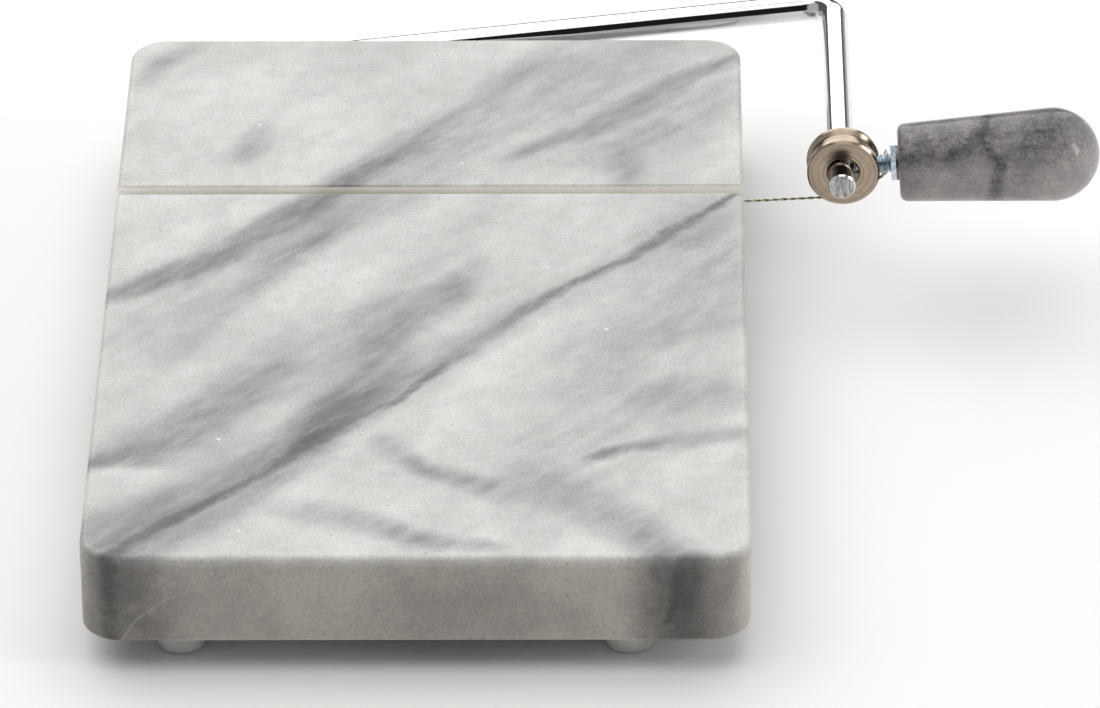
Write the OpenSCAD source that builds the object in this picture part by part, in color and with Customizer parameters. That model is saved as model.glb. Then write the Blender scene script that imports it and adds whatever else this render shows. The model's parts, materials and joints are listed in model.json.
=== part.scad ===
// Cheese wire cutter: a marble board with a cross groove, and a hinged wire arm that cuts into it.
// Millimetres, +Z up, standing on the plane z = 0. The front edge of the board faces -Y.
// The origin is the centre of the whole cutter's footprint box, on the plane that it stands on.

/* [Board] */
// Width of the board, along X
board_w = 127; // [115:1:150]
// Depth of the board, front to back, along Y
board_d = 203; // [180:1:230]
// Thickness of the board
board_t = 19; // [18:0.5:25]
// Radius of the board's four upright corners
corner_r = 7.5; // [4:0.5:12]
// Radius of the eased edges round the top and the underside
edge_r = 1.2; // [0.5:0.1:2.5]

/* [Groove] */
// Width of the groove that takes the wire
groove_w = 3.3; // [3.2:0.1:4]
// Distance from the board's back face to the middle of the groove
groove_from_back = 63.5; // [55:0.5:75]
// Easing of the groove's two top edges
groove_ease = 0.3; // [0.1:0.1:0.6]
// Gap between the resting wire and the floor of the groove
floor_gap = 0.25; // [0.15:0.05:0.5]

/* [Feet] */
// Diameter of a foot where it meets the board
foot_d = 11; // [9:0.5:14]
// Diameter of a foot where it meets the table
foot_base_d = 9.6; // [8:0.1:13]
// Height of a foot with its adhesive pad
foot_h = 7; // [5:0.5:9]
// Radius round the lower rim of a foot
foot_rim_r = 1; // [0.5:0.1:1.5]
// Thickness of the adhesive pad under the board
pad_t = 0.4; // [0.3:0.1:0.8]

/* [Arm] */
// Diameter of the bent rod
rod_d = 5.5; // [5:0.25:6]
// Radius of the rod's two bends, at its centre line
bend_r = 6.5; // [5:0.5:9]
// Distance from the pivot axis to the centre line of the handle leg
arm_reach = 123.5; // [120:0.5:130]
// Slope of the arm when it rests, rising to the right
arm_angle = 6.4; // [5:0.1:7]
// Distance from the board's left side to the pivot axis
pivot_from_left = 24; // [20:0.5:30]
// Depth of the pivot axis below the board's top
pivot_depth = 8.5; // [8:0.25:9.5]
// Distance from the board's back face to the centre line of the back leg
rod_behind = 4.75; // [4:0.25:8]
// Length of the handle leg in front of the tension wheel
tip_overhang = 5.5; // [3:0.5:8]

/* [Tension wheel] */
// Diameter of the wheel
wheel_d = 14.7; // [14:0.1:16]
// Width of the wheel
wheel_w = 6.3; // [6:0.1:7]
// Width of the shallow groove round the wheel's rim, at the rim
rim_groove_w = 3.5; // [2.5:0.1:3.6]
// Distance from the wheel's front face to the start of its rim groove
rim_front_w = 1.6; // [1.3:0.1:2]
// Diameter of the hole that the rod passes through
wheel_bore_d = 6.4; // [6.3:0.05:6.6]

/* [Wire] */
// Diameter of the twisted cutting wire
wire_d = 0.65; // [0.5:0.05:0.7]
// Diameter of the ball on the wire's end
ball_d = 2.6; // [2:0.1:2.6]

/* [Handle] */
// Slope of the handle when the arm rests, rising to the right
handle_tilt = 3.5; // [0:0.5:6]
// Distance from the wheel's axis to the handle's flat end
handle_start = 11.2; // [11:0.1:14]
// Length of the handle
handle_len = 40.6; // [35:0.1:60]
// Radius of the handle's domed end
dome_r = 9.45; // [8:0.05:11]
// Angle between the handle's side and its axis
handle_taper = 3; // [1:0.5:4]
// Radius round the handle's flat end
handle_edge_r = 1.5; // [0.8:0.1:2]

/* [Stud and nut] */
// Diameter of the threaded stud
stud_d = 3.9; // [3.5:0.1:4]
// Width of the jam nut across its flats
nut_af = 7; // [6.5:0.1:8]
// Thickness of the jam nut
nut_t = 1; // [0.8:0.1:1.2]
// Diameter of the lock washer
washer_d = 7; // [6.5:0.1:8]
// Thickness of the lock washer
washer_t = 0.5; // [0.4:0.1:0.6]

/* [Hidden] */
$fn = 96;
eps = 0.5;                       // how far a cut runs past the face that it opens

// Clearances
rod_clearance = 0.05;            // round the rod in its sleeve and in the board
thread_clearance = 0.05;         // round the stud in the wheel
wheel_shift = 0.4;               // the stud pushes the wheel this far off the rod's centre
tip_gap = 0.03;                  // between the stud's flat tip and the rod
face_gap = 0.02;                 // between the lock washer and its neighbours
wrap_gap = 0.06;                 // between the wrapped wire and the floor of the rim groove
wire_break = 0.1;                // between the straight wire and the wrapped end
ball_gap = 0.1;                  // between the ball and the rod

// Board levels and sides, with the board centred on x = 0 and y = 0
board_z0 = foot_h;
board_z1 = foot_h + board_t;
back_y = board_d / 2;
wire_y = back_y - groove_from_back;

// Arm
rod_r = rod_d / 2;
pivot_x = pivot_from_left - board_w / 2;
pivot_z = board_z1 - pivot_depth;
rod_back_y = back_y + rod_behind;
leg_x = pivot_x + arm_reach * cos(arm_angle);
leg_z = pivot_z + arm_reach * sin(arm_angle);
handle_leg_tip_y = wire_y - wheel_w / 2 - tip_overhang;
cross_hole_d = 1.2;
tip_chamfer = 0.3;

// Tension wheel, pushed along the handle's axis until the rod touches the far side of its hole
wheel_x = leg_x + wheel_shift * cos(handle_tilt);
wheel_z = leg_z + wheel_shift * sin(handle_tilt);
wheel_r = wheel_d / 2;
wheel_chamfer = 0.4;
bore_chamfer = 0.3;
rim_slope_w = 0.7;               // width of each sloping side of the rim groove
rim_groove_depth = 0.63;
rim_floor_r = wheel_r - rim_groove_depth;

// Wire, from the pivot axis to the underside of the wheel
wire_r = wire_d / 2;
wrap_r = rim_floor_r + wrap_gap + wire_r;
wheel_dx = wheel_x - pivot_x;
wheel_dz = wheel_z - pivot_z;
wheel_distance = sqrt(wheel_dx * wheel_dx + wheel_dz * wheel_dz);
wire_angle = atan2(wheel_dz, wheel_dx) - asin(wrap_r / wheel_distance);
wire_run = sqrt(wheel_distance * wheel_distance - wrap_r * wrap_r);
ball_r = ball_d / 2;
ball_offset = rod_r + ball_gap + ball_r;

// Wire loop round the stud: the wire leaves the wheel along a tangent that ends under the stud
stud_r = stud_d / 2;
loop_gap = 0.05;
loop_r = stud_r + loop_gap + wire_r;
loop_from_axis = 8.4;
loop_distance = sqrt(loop_from_axis * loop_from_axis + loop_r * loop_r);
leave_angle = handle_tilt - atan2(loop_r, loop_from_axis) - acos(wrap_r / loop_distance);
lead_len = sqrt(loop_distance * loop_distance - wrap_r * wrap_r);
knuckle = 0.02;                  // the wire is this much thicker where it leaves the wheel

// Pivot bore, its sleeve, and the recess under the groove where the wire's ball swings
recess_d = 16;
recess_top_z = pivot_z + 1.8;
sleeve_d = 7;
sleeve_front_y = wire_y + recess_d / 2 + 0.5;
sleeve_back_y = min(back_y, rod_back_y - bend_r - 0.25);
pivot_support = 6.5;             // length of rod held in front of the recess
pivot_tip_y = wire_y - recess_d / 2 - pivot_support;
pivot_bore_end_y = pivot_tip_y - 0.8;

// Feet, where they were stuck on
foot_front_y = -back_y + 11;
foot_back_y = back_y - 11.5;
foot_left_x = -45;
foot_right_x = 40.5;
foot_back_x = 43;

// Handle
washer_far = handle_start - face_gap;
washer_near = washer_far - washer_t;
nut_near = washer_near - face_gap - nut_t;
washer_bore_d = stud_d + 0.3;
dome_s = handle_start + handle_len - dome_r;
stud_tip = rod_r - wheel_shift + tip_gap;
stud_end = handle_start + 15;
insert_d = 6;
insert_len = 14;
stud_hole_end = stud_end + 1;

// Centre of the footprint box: left side to domed end, front face to the back of the rod
footprint_x = (wheel_x + dome_s * cos(handle_tilt) + dome_r - board_w / 2) / 2;
footprint_y = (rod_back_y + rod_r - back_y) / 2;

// Moves the board-centred design to the origin at the centre of the footprint
module in_frame() {
    translate([-footprint_x, -footprint_y, 0]) children();
}

// +X runs from the pivot axis along the resting arm, Y as in the board
module arm_frame() {
    in_frame() translate([pivot_x, 0, pivot_z]) rotate([0, -arm_angle, 0]) children();
}

// The wheel's centre, with no tilt
module wheel_frame() {
    in_frame() translate([wheel_x, wire_y, wheel_z]) children();
}

// +Z runs outwards along the handle's axis from the wheel's centre
module handle_frame() {
    wheel_frame() rotate([0, 90 - handle_tilt, 0]) children();
}

// A cylinder along +Y from y0 to y1
module rod_y(d, y0, y1) {
    translate([0, y0, 0]) rotate([-90, 0, 0]) cylinder(d = d, h = y1 - y0);
}

// Cross-section of the board, w wide, with its four edges eased
module eased_section(w) {
    translate([edge_r, 0]) square([w - 2 * edge_r, board_t]);
    translate([0, edge_r]) square([w, board_t - 2 * edge_r]);
    for (x = [edge_r, w - edge_r], y = [edge_r, board_t - edge_r])
        translate([x, y]) circle(r = edge_r);
}

// One upright corner of the board, eased at both ends
module corner_post() {
    rotate_extrude() intersection() {
        translate([-corner_r, 0]) eased_section(2 * corner_r);
        square([corner_r, board_t]);
    }
}

module plate() {
    inner_w = board_w - 2 * corner_r;
    inner_d = board_d - 2 * corner_r;
    translate([-board_w / 2, inner_d / 2, 0]) rotate([90, 0, 0])
        linear_extrude(inner_d) eased_section(board_w);
    translate([-inner_w / 2, -board_d / 2, 0]) rotate([90, 0, 90])
        linear_extrude(inner_w) eased_section(board_d);
    for (x = [-inner_w / 2, inner_w / 2], y = [-inner_d / 2, inner_d / 2])
        translate([x, y, 0]) corner_post();
}

// The groove's floor runs parallel to the resting wire, so it is deepest at the left
module wire_groove() {
    half = board_w / 2 + eps;
    drop = (wire_r + floor_gap) / cos(wire_angle);
    floor_left = pivot_z - drop - (pivot_x + half) * tan(wire_angle);
    floor_right = pivot_z - drop + (half - pivot_x) * tan(wire_angle);
    top = board_z1 + eps;
    translate([0, wire_y + groove_w / 2, 0]) rotate([90, 0, 0]) linear_extrude(groove_w)
        polygon([[-half, floor_left], [half, floor_right], [half, top], [-half, top]]);
    ease_half = groove_w / 2 + groove_ease;
    translate([-half, wire_y, board_z1]) rotate([90, 0, 90]) linear_extrude(2 * half)
        polygon([[-ease_half, 0], [0, -ease_half], [ease_half, 0], [ease_half, eps], [-ease_half, eps]]);
}

module board() {
    color("gainsboro") in_frame() difference() {
        translate([0, 0, board_z0]) plate();
        wire_groove();
        translate([pivot_x, 0, pivot_z]) {
            rod_y(sleeve_d, sleeve_front_y, back_y + eps);
            rod_y(rod_d + 2 * rod_clearance, pivot_bore_end_y, sleeve_front_y + eps);
        }
        translate([pivot_x, wire_y, board_z0 - eps])
            cylinder(d = recess_d, h = recess_top_z - board_z0 + eps);
    }
}

module pivot_sleeve() {
    color("ivory") in_frame() translate([pivot_x, 0, pivot_z]) difference() {
        rod_y(sleeve_d, sleeve_front_y, sleeve_back_y);
        rod_y(rod_d + 2 * rod_clearance, sleeve_front_y - eps, sleeve_back_y + eps);
    }
}

// A tapered rubber foot, rounded at its lower rim
module foot(x, y) {
    top = foot_h - pad_t;
    base_r = foot_base_d / 2;
    color("lightgray") in_frame() translate([x, y, 0]) rotate_extrude() {
        polygon([[0, 0], [base_r - foot_rim_r, 0], [base_r, foot_rim_r], [foot_d / 2, top], [0, top]]);
        translate([base_r - foot_rim_r, foot_rim_r]) circle(r = foot_rim_r);
    }
}

module foot_pad(x, y) {
    color("white") in_frame() translate([x, y, foot_h - pad_t])
        cylinder(d = foot_d - 0.5, h = pad_t);
}

// A quarter turn of the rod, from +X round to +Y
module rod_bend() {
    rotate_extrude(angle = 90) translate([bend_r, 0]) circle(d = rod_d);
}

// One rod bent twice: pivot leg, back leg and handle leg, drilled across for the wire
module arm_rod() {
    bend_y = rod_back_y - bend_r;
    color("silver") arm_frame() difference() {
        union() {
            rod_y(rod_d, pivot_tip_y, bend_y);
            translate([bend_r, bend_y, 0]) rotate([0, 0, 90]) rod_bend();
            translate([bend_r, rod_back_y, 0]) rotate([0, 90, 0])
                cylinder(d = rod_d, h = arm_reach - 2 * bend_r);
            translate([arm_reach - bend_r, bend_y, 0]) rod_bend();
            translate([arm_reach, 0, 0]) rod_y(rod_d, handle_leg_tip_y + tip_chamfer, bend_y);
            translate([arm_reach, handle_leg_tip_y + tip_chamfer, 0]) rotate([90, 0, 0])
                cylinder(r1 = rod_r, r2 = rod_r - tip_chamfer, h = tip_chamfer);
        }
        translate([0, wire_y, 0]) rotate([0, arm_angle - wire_angle, 0])
            translate([-rod_d, 0, 0]) rotate([0, 90, 0]) cylinder(d = cross_hole_d, h = 2 * rod_d);
    }
}

// +X runs from the pivot axis along the wire
module wire_frame() {
    in_frame() translate([pivot_x, wire_y, pivot_z]) rotate([0, -wire_angle, 0]) children();
}

module cutting_wire() {
    start = ball_offset + ball_r;
    color("darkkhaki") wire_frame() translate([-start, 0, 0]) rotate([0, 90, 0])
        cylinder(d = wire_d, h = start + wire_run - wire_break);
}

module wire_end_ball() {
    color("goldenrod") wire_frame() translate([-ball_offset, 0, 0]) rotate([0, 90, 0])
        rotate_extrude() intersection() {
            circle(r = ball_r);
            translate([wire_r, -ball_d]) square([ball_d, 2 * ball_d]);
        }
}

// Half of the wheel's cross-section: [radius, distance behind the front face]
module wheel_section() {
    bore_r = wheel_bore_d / 2;
    groove_end = rim_front_w + rim_groove_w;
    polygon([
        [bore_r + bore_chamfer, 0], [wheel_r - wheel_chamfer, 0], [wheel_r, wheel_chamfer],
        [wheel_r, rim_front_w], [rim_floor_r, rim_front_w + rim_slope_w],
        [rim_floor_r, groove_end - rim_slope_w], [wheel_r, groove_end],
        [wheel_r, wheel_w - wheel_chamfer], [wheel_r - wheel_chamfer, wheel_w],
        [bore_r + bore_chamfer, wheel_w], [bore_r, wheel_w - bore_chamfer], [bore_r, bore_chamfer]
    ]);
}

module tension_wheel() {
    color("tan") difference() {
        wheel_frame() translate([0, -wheel_w / 2, 0]) rotate([-90, 0, 0])
            rotate_extrude() wheel_section();
        handle_frame() cylinder(d = stud_d + 2 * thread_clearance, h = wheel_d);
    }
}

// The wire's far end: round the wheel's rim, off along a tangent, and once round the stud
module wire_end_loop() {
    color("darkkhaki") {
        wheel_frame() rotate([90, 0, 0]) {
            rotate([0, 0, wire_angle - 90])
                rotate_extrude(angle = leave_angle - wire_angle + 90)
                    translate([wrap_r, 0]) circle(d = wire_d);
            rotate([0, 0, leave_angle]) translate([wrap_r, 0, 0]) {
                sphere(d = wire_d + 2 * knuckle);
                rotate([-90, 0, 0]) cylinder(d = wire_d, h = lead_len);
            }
        }
        handle_frame() translate([0, 0, loop_from_axis])
            rotate_extrude() translate([loop_r, 0]) circle(d = wire_d);
    }
}

module lock_washer() {
    color("dimgray") handle_frame() translate([0, 0, washer_near]) difference() {
        cylinder(d = washer_d, h = washer_t);
        translate([0, 0, -eps]) cylinder(d = washer_bore_d, h = washer_t + 2 * eps);
    }
}

module jam_nut() {
    color("lightsteelblue") handle_frame() translate([0, 0, nut_near]) difference() {
        cylinder(d = nut_af / cos(30), h = nut_t, $fn = 6);
        translate([0, 0, -eps]) cylinder(d = stud_d, h = nut_t + 2 * eps);
    }
}

module handle_stud() {
    color("lightsteelblue") handle_frame() translate([0, 0, stud_tip])
        cylinder(d = stud_d, h = stud_end - stud_tip);
}

module handle_insert() {
    color("gold") handle_frame() translate([0, 0, handle_start]) difference() {
        cylinder(d = insert_d, h = insert_len);
        translate([0, 0, -eps]) cylinder(d = stud_d, h = insert_len + 2 * eps);
    }
}

// Half of the handle's cross-section: [radius, distance from the wheel's axis]
module grip_section() {
    side_n = [cos(handle_taper), -sin(handle_taper)];
    dome_c = [0, dome_s];
    dome_t = dome_c + dome_r * side_n;
    edge_s = handle_start + handle_edge_r;
    edge_x = dome_t[0] - (dome_t[1] - edge_s) * tan(handle_taper) - handle_edge_r / cos(handle_taper);
    edge_c = [edge_x, edge_s];
    edge_t = edge_c + handle_edge_r * side_n;
    polygon([[0, handle_start], [edge_x, handle_start], edge_t, dome_t, [0, dome_t[1]]]);
    translate(edge_c) circle(r = handle_edge_r);
    intersection() {
        translate(dome_c) circle(r = dome_r);
        translate([0, handle_start]) square([dome_r + eps, handle_len + eps]);
    }
}

module handle_grip() {
    color("darkgray") handle_frame() difference() {
        rotate_extrude() grip_section();
        translate([0, 0, handle_start - eps]) cylinder(d = insert_d, h = insert_len + eps);
        translate([0, 0, handle_start]) cylinder(d = stud_d, h = stud_hole_end - handle_start);
    }
}

board();
pivot_sleeve();
foot(foot_left_x, foot_front_y);  // foot_front_left
foot(foot_right_x, foot_front_y);  // foot_front_right
foot(-foot_back_x, foot_back_y);  // foot_back_left
foot(foot_back_x, foot_back_y);  // foot_back_right
foot_pad(foot_left_x, foot_front_y);  // foot_pad_front_left
foot_pad(foot_right_x, foot_front_y);  // foot_pad_front_right
foot_pad(-foot_back_x, foot_back_y);  // foot_pad_back_left
foot_pad(foot_back_x, foot_back_y);  // foot_pad_back_right
arm_rod();
cutting_wire();
wire_end_ball();
tension_wheel();
wire_end_loop();
lock_washer();
jam_nut();
handle_stud();
handle_insert();
handle_grip();
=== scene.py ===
import json
import math

import bpy
import numpy as np
from mathutils import Matrix, Vector


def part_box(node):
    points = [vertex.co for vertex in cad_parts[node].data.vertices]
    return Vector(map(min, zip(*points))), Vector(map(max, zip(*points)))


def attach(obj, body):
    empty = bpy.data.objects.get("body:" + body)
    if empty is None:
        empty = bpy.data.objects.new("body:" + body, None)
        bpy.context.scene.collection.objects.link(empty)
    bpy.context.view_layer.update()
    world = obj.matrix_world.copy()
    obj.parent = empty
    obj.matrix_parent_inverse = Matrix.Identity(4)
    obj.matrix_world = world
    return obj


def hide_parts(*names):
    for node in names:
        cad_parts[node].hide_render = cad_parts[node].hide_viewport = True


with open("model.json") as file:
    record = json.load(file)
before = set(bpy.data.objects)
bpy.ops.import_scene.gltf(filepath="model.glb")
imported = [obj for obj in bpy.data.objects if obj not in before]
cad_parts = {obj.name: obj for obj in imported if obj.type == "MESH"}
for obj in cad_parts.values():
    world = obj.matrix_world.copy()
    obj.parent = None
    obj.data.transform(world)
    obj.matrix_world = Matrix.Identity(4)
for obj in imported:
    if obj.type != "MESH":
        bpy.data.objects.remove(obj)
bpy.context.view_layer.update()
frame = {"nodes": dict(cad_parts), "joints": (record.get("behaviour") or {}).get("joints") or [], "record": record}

MM = 0.001
JOINTS = {j["name"]: j for j in frame["joints"]}
NODES = frame["nodes"]

# ---------------------------------------------------------------- places
BOARD_LO, BOARD_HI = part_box("board")
BOARD_MID = (BOARD_LO + BOARD_HI) / 2
BOARD_TOP = BOARD_HI.z
WHEEL = Vector(JOINTS["wheel_turn"]["pos_m"])
WIRE_Y = WHEEL.y
HANDLE_DIR = Vector(JOINTS["handle_screw"]["axis"]).normalized()
WIRE_DIR = Vector(JOINTS["wire_feed"]["axis"]).normalized()
WRAP_R = abs(frame["record"]["behaviour"]["couplings"][0]["ratio"])
WIRE_LO, WIRE_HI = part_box("cutting_wire")
WIRE_R = (WIRE_HI.y - WIRE_LO.y) / 2
WIRE_OFF_FLOOR = 0.25              # millimetres from the wire down to the groove's floor
# the ends of its middle line
WIRE_START = Vector((WIRE_LO.x + WIRE_R * WIRE_DIR.z, WIRE_Y, WIRE_LO.z + WIRE_R * WIRE_DIR.x))
WIRE_END = Vector((WIRE_HI.x - WIRE_R * WIRE_DIR.z, WIRE_Y, WIRE_HI.z - WIRE_R * WIRE_DIR.x))

# ---------------------------------------------------------------- camera
CAMERA_FROM_BOARD = Vector((43.286, -1410.492, 854.028)) * MM
CAMERA_DOWN = math.radians(30.90)
CAMERA_YAW = math.radians(-0.762)
CAMERA_ROLL = math.radians(-0.50)
CAMERA_LENS = 269.46


def make_camera():
    ahead = Vector((
        math.sin(CAMERA_YAW) * math.cos(CAMERA_DOWN),
        math.cos(CAMERA_YAW) * math.cos(CAMERA_DOWN),
        -math.sin(CAMERA_DOWN),
    ))
    right = Vector((math.cos(CAMERA_YAW), -math.sin(CAMERA_YAW), 0))
    up = right.cross(ahead)
    x = math.cos(CAMERA_ROLL) * right + math.sin(CAMERA_ROLL) * up
    y = -math.sin(CAMERA_ROLL) * right + math.cos(CAMERA_ROLL) * up
    data = bpy.data.cameras.new("camera")
    data.lens = CAMERA_LENS
    data.sensor_width = 36
    data.sensor_fit = "HORIZONTAL"
    data.clip_start, data.clip_end = 0.05, 50
    cam = bpy.data.objects.new("camera", data)
    bpy.context.scene.collection.objects.link(cam)
    turn = Matrix((x, y, -ahead)).transposed().to_4x4()
    place = Vector((BOARD_MID.x, BOARD_MID.y, 0)) + CAMERA_FROM_BOARD
    cam.matrix_world = Matrix.Translation(place) @ turn
    bpy.context.scene.camera = cam


make_camera()


# ---------------------------------------------------------------- node helpers
class Graph:
    """A material's nodes. Every argument is a number, a tuple or another node's socket."""

    def __init__(self, name, tree=None):
        if tree is None:
            self.material = bpy.data.materials.new(name)
            self.material.use_nodes = True
            tree = self.material.node_tree
        self.tree = tree
        tree.nodes.clear()

    def put(self, socket, value):
        if isinstance(value, bpy.types.NodeSocket):
            self.tree.links.new(value, socket)
        elif value is not None:
            is_list = hasattr(socket.default_value, "__len__")
            if is_list and len(socket.default_value) == 4 and len(value) == 3:
                value = (*value, 1)
            socket.default_value = value

    def node(self, kind, inputs=(), **settings):
        made = self.tree.nodes.new("ShaderNode" + kind)
        for key, value in settings.items():
            setattr(made, key, value)
        for key, value in dict(inputs).items():
            self.put(made.inputs[key], value)
        return made

    def math(self, operation, a, b=None, c=None, clamp=False):
        made = self.node("Math", operation=operation, use_clamp=clamp)
        for socket, value in zip(made.inputs, (a, b, c)):
            self.put(socket, value)
        return made.outputs[0]

    def vector(self, operation, a, b=None, scale=None):
        made = self.node("VectorMath", operation=operation)
        self.put(made.inputs[0], a)
        self.put(made.inputs[1], b)
        if scale is not None:
            self.put(made.inputs["Scale"], scale)
        return made.outputs["Value" if operation in ("DOT_PRODUCT", "LENGTH") else "Vector"]

    def combine(self, x=0.0, y=0.0, z=0.0):
        return self.node("CombineXYZ", {"X": x, "Y": y, "Z": z}).outputs[0]

    def separate(self, v):
        return self.node("SeparateXYZ", {"Vector": v}).outputs

    def flecks(self, where, scale, near, far, channel, low, high):
        """Spots on the points of a Voronoi pattern whose colour channel is above low ... high.

        Each is full up to near from its point, and gone at far."""
        spots = self.node("TexVoronoi", {"Vector": where, "Scale": scale, "Randomness": 1.0})
        picked = self.fade(self.separate(spots.outputs["Color"])[channel], low, high)
        return self.math("MULTIPLY", self.fade(spots.outputs["Distance"], near, far, 1.0, 0.0), picked)

    def noise(self, v, scale, detail=2.0, rough=0.5, colour=False):
        made = self.node("TexNoise", {"Vector": v, "Scale": scale, "Detail": detail, "Roughness": rough})
        return made.outputs["Color" if colour else "Fac"]

    def ramp(self, fac, stops):
        made = self.node("ValToRGB", {"Fac": fac})
        items = made.color_ramp.elements
        while len(items) < len(stops):
            items.new(1.0)
        for item, (at, _) in zip(items, stops):
            item.position = at
        for item, (_, value) in zip(items, stops):
            item.color = (*value, 1)
        return made.outputs["Color"]

    def fade(self, value, low, high, to_low=0.0, to_high=1.0):
        """to_low below low, to_high above high, and a smooth step between."""
        made = self.node("MapRange", {
            "Value": value, "From Min": low, "From Max": high, "To Min": to_low, "To Max": to_high},
            interpolation_type="SMOOTHSTEP")
        return made.outputs[0]

    def mix(self, fac, a, b, blend="MIX"):
        made = self.node("Mix", data_type="RGBA", blend_type=blend)
        self.put(made.inputs[0], fac)
        self.put(made.inputs[6], a)
        self.put(made.inputs[7], b)
        return made.outputs[2]

    def bump(self, height, distance, strength):
        made = self.node("Bump", {"Height": height, "Distance": distance, "Strength": strength})
        return made.outputs[0]

    def millimetres(self, origin=(0, 0, 0)):
        """Object coordinates in millimetres from origin, which is in metres."""
        where = self.node("TexCoord").outputs["Object"]
        return self.vector("SCALE", self.vector("SUBTRACT", where, tuple(origin)), scale=1 / MM)

    def finish(self, **inputs):
        shader = self.node("BsdfPrincipled")
        for key, value in inputs.items():
            self.put(shader.inputs[key.replace("_", " ")], value)
        out = self.node("OutputMaterial")
        self.tree.links.new(shader.outputs[0], out.inputs["Surface"])
        return self.material


# ---------------------------------------------------------------- white marble
VEIN_ANGLE = 49                    # degrees from +X, the way nearly all the veins run
VEIN_REACH = 120.0                 # millimetres from the board's middle to either end of a vein's ramp
WIDEST = 20.0                      # the half width, in millimetres, that a ramp holds as 1
VEIN_EDGE = 1.6                    # a vein fades to nothing this many half widths from its middle
LIGHT_LEFT = 0.28                  # the share of the light left by a vein of strength 1
GROOVE_HALF = 1.65                 # half the groove's width in millimetres

# Veins in millimetres from the board's middle: x, y, strength, half width
VEINS = [
    # the sharp dark line from the front left corner to the groove at the right
    [(-64, -108, 0.0, 1.2), (-57, -100, 0.45, 1.6), (-50, -92, 0.60, 1.6), (-40, -82, 0.60, 1.4),
     (-30, -71.5, 0.40, 1.3), (-24, -64, 0.50, 1.6), (-20.5, -58, 0.80, 2.6), (-16, -54, 0.30, 2.2),
     (-9, -49, 0.16, 1.2), (-4, -44, 0.42, 1.0), (0.5, -37, 0.45, 1.1), (6, -29, 0.22, 1.6),
     (13, -19, 0.18, 2.2), (20, -10, 0.38, 1.8), (28, -1, 0.42, 1.4), (34, 4.5, 0.38, 1.2),
     (41, 11, 0.36, 1.5), (48, 20, 0.50, 1.8), (55, 27.5, 0.45, 1.3), (61.5, 35.5, 0.45, 1.0),
     (70, 45, 0.0, 1.2)],
    # the shade along both its sides
    [(-68, -108, 0.0, 10), (-58, -98, 0.50, 11), (-49, -89, 0.48, 10), (-40, -80, 0.44, 9),
     (-31, -69, 0.50, 8.0), (-23, -59, 0.54, 7.0), (-15, -49, 0.44, 6.0), (-4, -39, 0.28, 5.0),
     (5, -27, 0.34, 5.0), (14, -17, 0.22, 5.0), (22, -7, 0.14, 4.5), (34, 5, 0.14, 5),
     (46, 18, 0.18, 6), (56, 30, 0.16, 6), (66, 42, 0.0, 5)],
    # the dark patch above its middle, which leans away from it
    [(-26, -60, 0.0, 5), (-19, -51, 0.38, 6), (-13, -40, 0.42, 7.5), (-10, -30, 0.44, 8.5),
     (-8, -20, 0.34, 8), (-6, -10, 0.28, 7.0), (-2, 2, 0.16, 7), (6, 16, 0.14, 7), (14, 30, 0.12, 7),
     (22, 44, 0.0, 7)],
    [(-8, -26, 0.0, 3.5), (-3, -16, 0.20, 4.0), (2.5, -8, 0.36, 4.4), (6, -3, 0.40, 4.0),
     (9, 4, 0.14, 4.0), (12, 14, 0.0, 4)],
    # the band to its left
    [(-70, -72, 0.0, 2.2), (-62, -67.5, 0.50, 2.6), (-54, -64, 0.44, 7), (-46, -57, 0.44, 8.5),
     (-38, -47, 0.42, 8), (-30, -37, 0.36, 8), (-22, -27, 0.22, 8), (-14, -17, 0.10, 7),
     (-6, -6, 0.0, 6)],
    # the band from the left edge to the back, its dark lower line first
    [(-70, -10, 0.0, 3), (-62, -4, 0.36, 3.2), (-54, 1.5, 0.40, 3.6), (-47, 7, 0.44, 3.6),
     (-39, 13, 0.42, 3.4), (-32, 23, 0.40, 3.4), (-25, 31, 0.44, 3.4), (-19, 39, 0.50, 3.6),
     (-12, 48, 0.38, 4.2), (-4, 57, 0.28, 4.5), (6, 69, 0.20, 4.5), (13, 80, 0.22, 4.5),
     (22, 92, 0.18, 5.0), (32, 104, 0.0, 5)],
    [(-70, -6, 0.0, 6), (-50, 2, 0.16, 8), (-34, 14, 0.24, 9), (-22, 26, 0.28, 9), (-8, 42, 0.28, 9),
     (4, 56, 0.24, 10), (18, 68, 0.18, 12), (32, 82, 0.22, 13), (46, 96, 0.14, 13), (56, 108, 0.0, 10)],
    # its second lower line
    [(-52, -34, 0.0, 3.0), (-47, -24, 0.16, 3.6), (-42, -12, 0.16, 4.2), (-36, -3, 0.20, 4.2),
     (-29, 7, 0.26, 3.6), (-22, 17, 0.32, 3.0), (-14, 26, 0.0, 3.0)],
    # the line at the back on the right
    [(12, 46, 0.0, 2), (21, 55, 0.30, 2.6), (30, 61, 0.24, 3.4), (38, 69, 0.36, 4.0),
     (46, 78, 0.30, 3.4), (53, 85, 0.50, 3.0), (62, 93, 0.40, 2.6), (72, 102, 0.0, 2.5)],
    # a soft shade on its lower right
    [(22, 40, 0.0, 8), (36, 56, 0.20, 9), (48, 66, 0.24, 10), (60, 78, 0.18, 9), (72, 92, 0.0, 6)],
    # faint marks at the back left
    [(-63, 78, 0.0, 3), (-57, 91, 0.32, 3.2), (-50, 99, 0.20, 3.0), (-44, 106, 0.0, 3)],
    # faint smoke on both sides of the long line
    [(16, -88, 0.0, 10), (24, -66, 0.16, 16), (32, -46, 0.17, 18), (42, -26, 0.18, 18),
     (52, -6, 0.22, 16), (58, 14, 0.26, 12), (70, 30, 0.0, 10)],
    [(-68, -34, 0.0, 8), (-58, -20, 0.18, 10), (-48, -8, 0.16, 9), (-38, 4, 0.0, 6)],
]
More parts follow.
